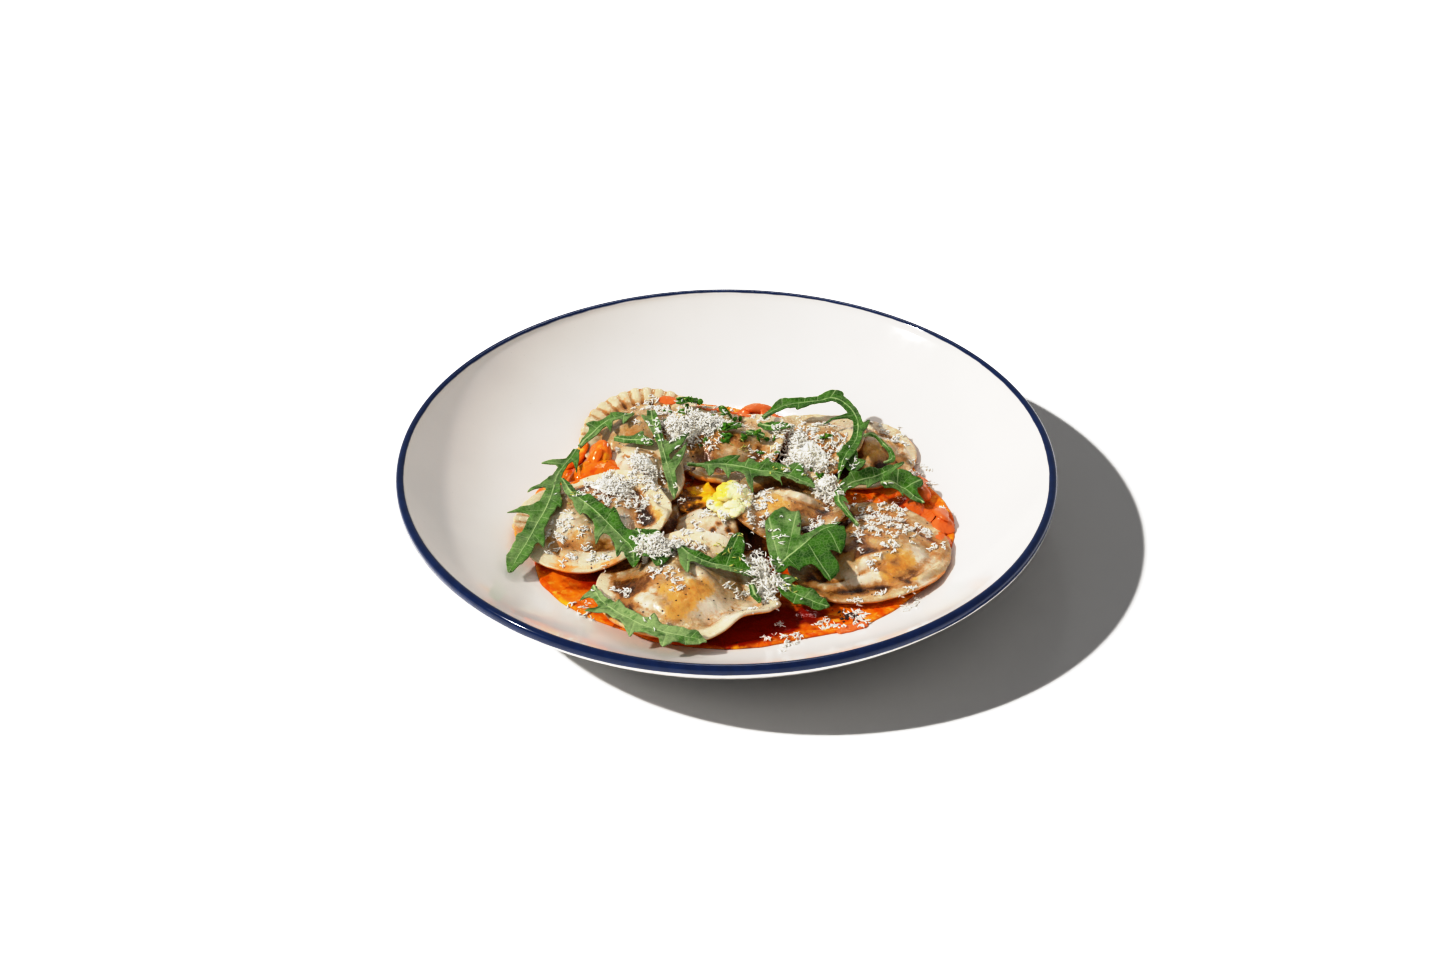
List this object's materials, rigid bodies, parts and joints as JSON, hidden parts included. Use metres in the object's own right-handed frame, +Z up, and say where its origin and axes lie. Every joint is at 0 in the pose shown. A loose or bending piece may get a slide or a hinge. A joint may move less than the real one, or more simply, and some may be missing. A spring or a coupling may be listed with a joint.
{
  "type": "plated ravioli",
  "caption": "Round ravioli in chunky tomato sauce with rocket leaves and grated cheese, plated in a shallow rimmed coupe bowl.",
  "frame": {"origin": "middle of the foot ring, on the surface that the bowl stands on", "axes": "+Z up, the bowl's axis; +Y away from the diner, towards the crimped raviolo that leans on the wall; +X to the diner's right"},
  "size_m": [0.25, 0.25, 0.036],
  "materials": {
    "glaze": "off-white glazed stoneware with a dark blue painted rim",
    "sauce": "wet tomato sauce",
    "pasta": "moist egg pasta with browned butter",
    "tomato": "wet tomato flesh",
    "rocket": "fresh rocket leaf",
    "herb": "fresh torn herb",
    "curd": "soft curd",
    "cheese": "finely grated hard cheese"
  },
  "bodies": {
    "root": {"bowl": "glaze", "sauce": "sauce", "ravioli_middle": "pasta", "ravioli_back_left": "pasta", "ravioli_front": "pasta", "ravioli_right": "pasta", "ravioli_far_right": "pasta", "ravioli_back_right": "pasta", "ravioli_back": "pasta", "ravioli_left_middle": "pasta", "ravioli_left": "pasta", "ravioli_centre_right": "pasta", "tomato_left": "tomato", "tomato_left_low": "tomato", "tomato_back": "tomato", "tomato_right": "tomato", "tomato_right_low": "tomato", "curd": "curd", "leaf_back_left_low": "rocket", "leaf_upper_left": "rocket", "leaf_left_long": "rocket", "leaf_left_broad": "rocket", "leaf_left_under": "rocket", "leaf_upright": "rocket", "leaf_centre": "rocket", "leaf_back_low": "rocket", "leaf_tuft": "rocket", "leaf_arch": "rocket", "leaf_right_narrow": "rocket", "leaf_right": "rocket", "leaf_curl": "rocket", "leaf_front_low": "rocket", "leaf_front_centre": "rocket", "leaf_front_broad": "rocket", "leaf_front": "rocket", "herb_back_left": "herb", "herb_back": "herb", "herb_back_mid": "herb", "herb_back_right": "herb", "herb_front": "herb", "cheese_back_left": "cheese", "cheese_left_middle": "cheese", "cheese_left": "cheese", "cheese_front": "cheese", "cheese_back_right": "cheese", "cheese_right": "cheese", "cheese_front_left": "cheese"}
  },
  "joints": []
}
